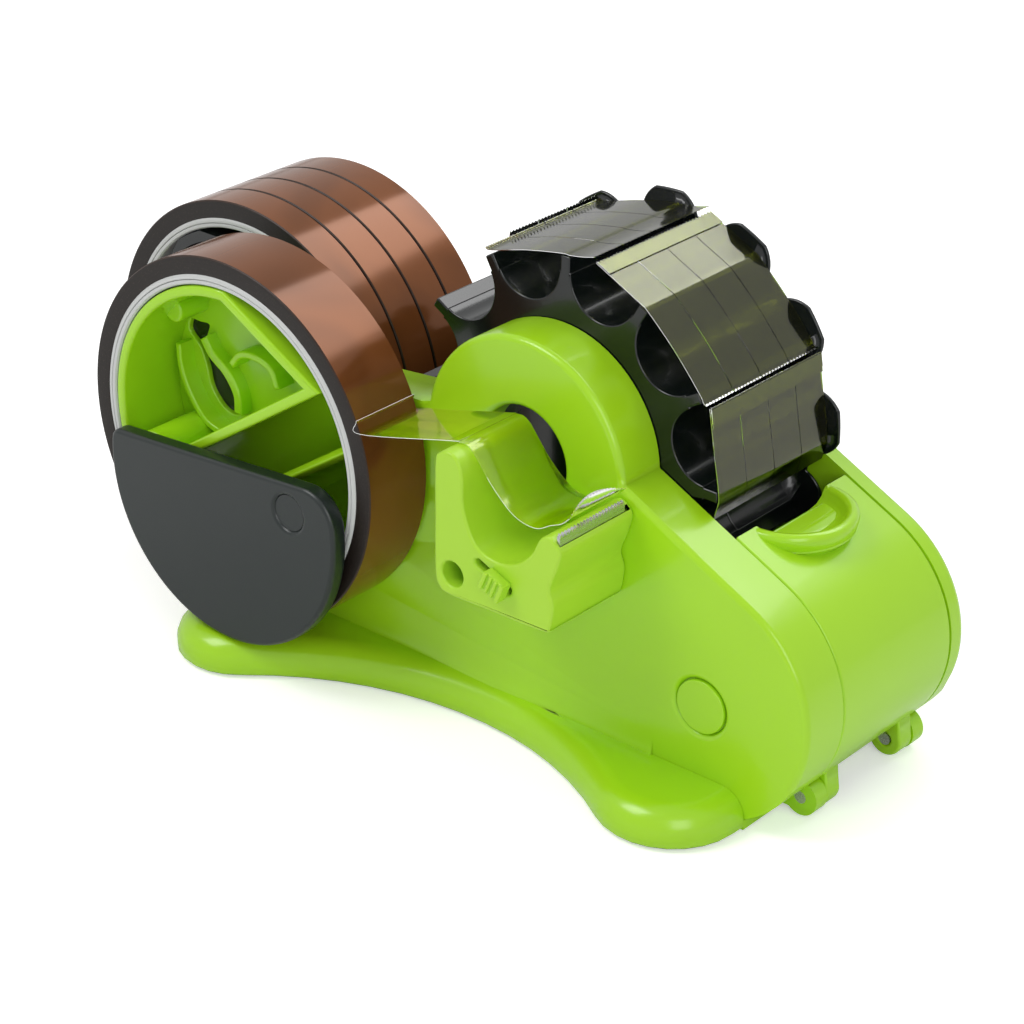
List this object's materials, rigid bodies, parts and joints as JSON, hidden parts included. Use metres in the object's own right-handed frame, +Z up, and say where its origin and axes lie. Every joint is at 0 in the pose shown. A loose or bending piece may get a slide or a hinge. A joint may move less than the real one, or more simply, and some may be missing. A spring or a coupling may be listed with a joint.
{
  "type": "tape dispenser",
  "caption": "Counter-top heat tape dispenser: narrow rolls feed a lobed wheel that brings cut pieces to the top, and a wide side roll feeds a small cutter.",
  "frame": {"origin": "middle of the base's middle pad, on the surface that the dispenser stands on", "axes": "+X towards the nose with the lid, +Y away from the side with the wide roll, +Z up"},
  "size_m": [0.224, 0.119, 0.1172],
  "materials": {
    "lime": "glossy",
    "pale_lime": "satin",
    "black": "glossy",
    "soft_black": "matte",
    "slate": "satin",
    "steel": "brushed",
    "copper_tape": "glossy",
    "clear_film": "glossy",
    "card": "matte"
  },
  "bodies": {
    "housing": {"base": "lime", "skirt_front": "lime", "skirt_rear": "lime", "base_cover": "black", "grip_pad": "soft_black", "rubber_feet": "soft_black", "base_screws": "steel", "front_side": "lime", "front_liner": "lime", "rear_side": "lime", "liner_screws": "steel", "screw_cap": "lime", "feed_film": "clear_film", "bracket": "pale_lime", "side_blade": "steel", "bracket_screws": "steel", "side_film": "clear_film", "lid_pins": "steel", "blade_holder": "black", "main_blade": "steel", "blade_screws": "steel"},
    "wheel": {"wheel_front": "black", "wheel_rear": "black", "wheel_sleeve": "black", "sleeve_caps": "black", "wheel_tape_1": "clear_film", "wheel_tape_2": "clear_film", "wheel_tape_3": "clear_film", "wheel_tape_4": "clear_film"},
    "narrow_reel": {"hub_front": "black", "hub_rear": "black", "hub_tube": "black", "core_1": "card", "core_2": "card", "core_3": "card", "core_4": "card", "roll_1": "copper_tape", "roll_2": "copper_tape", "roll_3": "copper_tape", "roll_4": "copper_tape"},
    "wide_reel": {"wide_core": "card", "wide_roll": "copper_tape"},
    "stop": {"end_stop": "slate", "stop_pin": "steel"},
    "cover": {"lid": "lime"},
    "lock": {"lock_slider": "pale_lime", "slider_plate": "pale_lime"}
  },
  "joints": [
    {"name": "wheel_turn", "type": "hinge", "parent": "housing", "child": "wheel", "pos_m": [0.0148, 0, 0.0702], "axis": [0, -1, 0], "continuous": true},
    {"name": "narrow_reel_turn", "type": "hinge", "parent": "housing", "child": "narrow_reel", "pos_m": [-0.085, 0, 0.055], "axis": [0, -1, 0], "continuous": true},
    {"name": "wide_reel_turn", "type": "hinge", "parent": "housing", "child": "wide_reel", "pos_m": [-0.057, 0, 0.0585], "axis": [0, 1, 0], "continuous": true},
    {"name": "stop_swing", "type": "hinge", "parent": "housing", "child": "stop", "pos_m": [-0.08287, 0, 0.04875], "axis": [0, -1, 0], "range_deg": [0, 24.9]},
    {"name": "lid_turn", "type": "hinge", "parent": "housing", "child": "cover", "pos_m": [0.084, 0, 0.005], "axis": [0, 1, 0], "range_deg": [0, 65]},
    {"name": "lock_slide", "type": "slide", "parent": "housing", "child": "lock", "axis": [0.9201, 0, -0.3917], "range_m": [-0.003, 0.0003]}
  ],
  "couplings": [
    {"joint": "narrow_reel_turn", "follows": "wheel_turn", "ratio": 0.9689}
  ]
}
